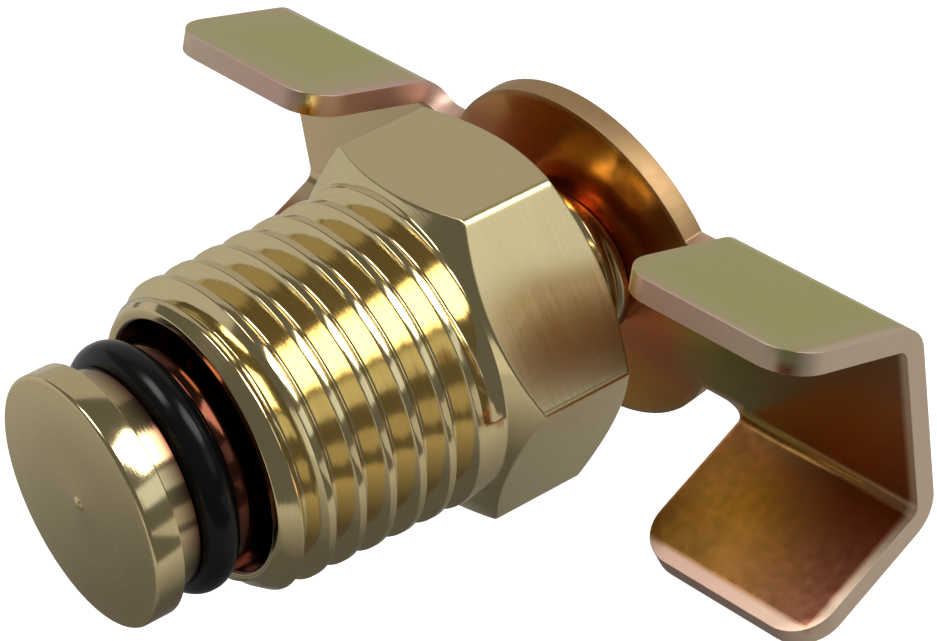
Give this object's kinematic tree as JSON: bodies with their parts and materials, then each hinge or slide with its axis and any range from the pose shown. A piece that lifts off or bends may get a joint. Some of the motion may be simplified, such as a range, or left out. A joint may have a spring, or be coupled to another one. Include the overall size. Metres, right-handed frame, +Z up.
{
  "type": "radiator drain petcock",
  "caption": "Brass drain valve with a tapered pipe thread and hexagon, a screw plunger with a rubber seal ring, and a stamped butterfly handle.",
  "frame": {"origin": "on the valve axis, in the plane of the body's threaded mouth", "axes": "+X along the valve axis from the nose to the handle, +Z up, across the hexagon's flats, Y along the handle's wings"},
  "size_m": [0.0275, 0.037, 0.016],
  "materials": {
    "body_brass": "turned and satin",
    "spindle_brass": "turned",
    "seal_rubber": "gloss, oiled",
    "handle_steel": "yellow zinc plated"
  },
  "bodies": {
    "body": {"valve_body": "body_brass"},
    "seal": {"o_ring": "seal_rubber"},
    "stem": {"spindle": "spindle_brass", "wing_handle": "handle_steel"}
  },
  "joints": [
    {"name": "stem_travel", "type": "slide", "parent": "body", "child": "seal", "axis": [1, 0, 0], "range_m": [-0.0023, 0.0046]},
    {"name": "handle_turn", "type": "hinge", "parent": "seal", "child": "stem", "pos_m": [0, 0, 0], "axis": [-1, 0, 0], "range_deg": [-770, 1560]}
  ],
  "couplings": [
    {"joint": "stem_travel", "follows": "handle_turn", "m_per_rad": 0.00016844}
  ]
}
